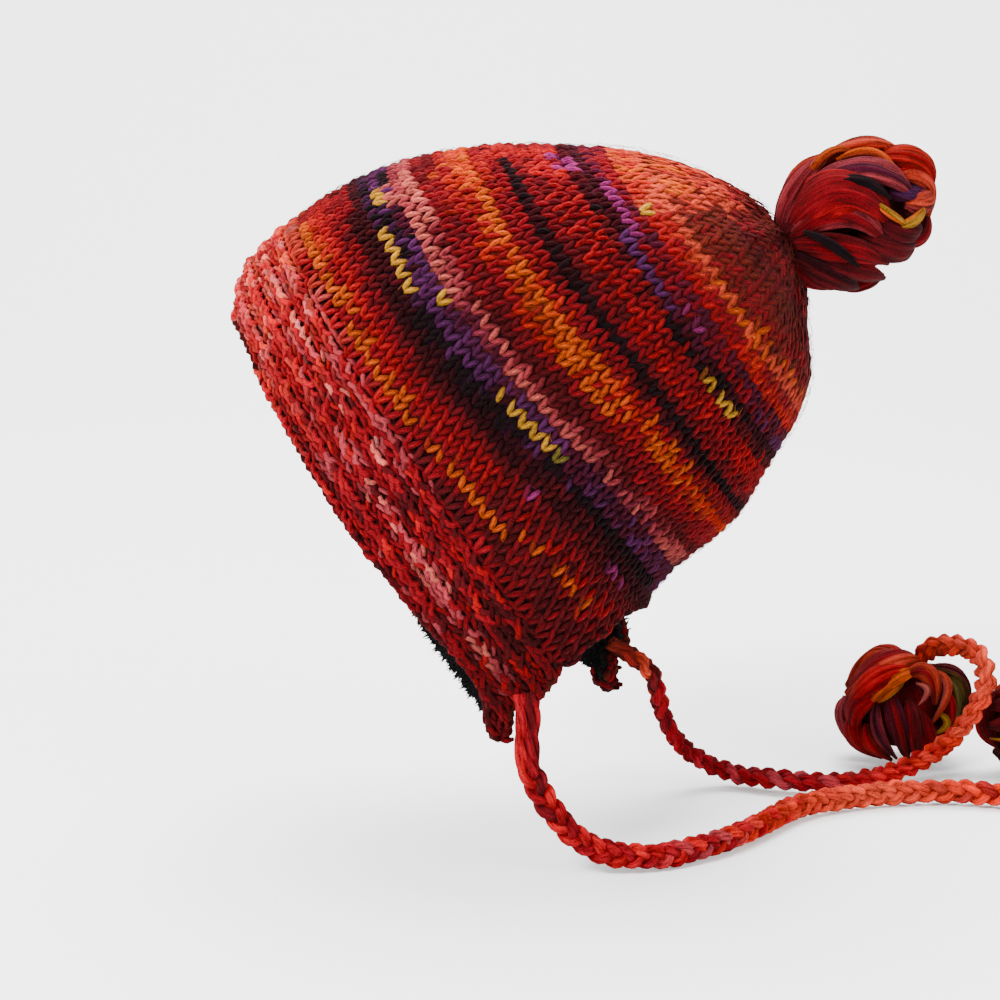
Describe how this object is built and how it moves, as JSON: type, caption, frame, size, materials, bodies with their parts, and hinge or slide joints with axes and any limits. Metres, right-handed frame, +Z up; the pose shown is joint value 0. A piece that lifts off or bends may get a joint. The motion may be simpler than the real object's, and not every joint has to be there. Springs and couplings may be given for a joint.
{
  "type": "knit earflap toque",
  "caption": "Bulky striped knit hat with a ridged front band, earflaps, a dark pile lining, a looped pompon on the crown and long braided ties that end in looped pompons.",
  "frame": {"origin": "inside the top of the hat, where the top of the head bears on the lining's level", "axes": "+Z up with the hat as worn, tipped back; the front faces -Y; the wearer's left side faces +X"},
  "size_m": [0.2054, 0.4017, 0.297],
  "materials": {
    "striped_wool": "bulky hand-spun wool in stocking stitch, crimson with orange, maroon, pink and black stripes",
    "ridged_wool": "bulky hand-spun wool in garter stitch, crimson flecked with pink and coral",
    "pile": "black pile fleece",
    "roving_loops": "loops of unspun wool roving, crimson, orange, yellow and dark purple",
    "braided_roving": "three-strand braid of wool roving, crimson to coral"
  },
  "bodies": {
    "root": {"knit_body": "striped_wool", "garter_band": "ridged_wool", "fleece_lining": "pile", "crown_pompon": "roving_loops", "near_tie": "braided_roving", "far_tie": "braided_roving", "near_tie_pompon": "roving_loops", "far_tie_pompon": "roving_loops"}
  },
  "joints": []
}
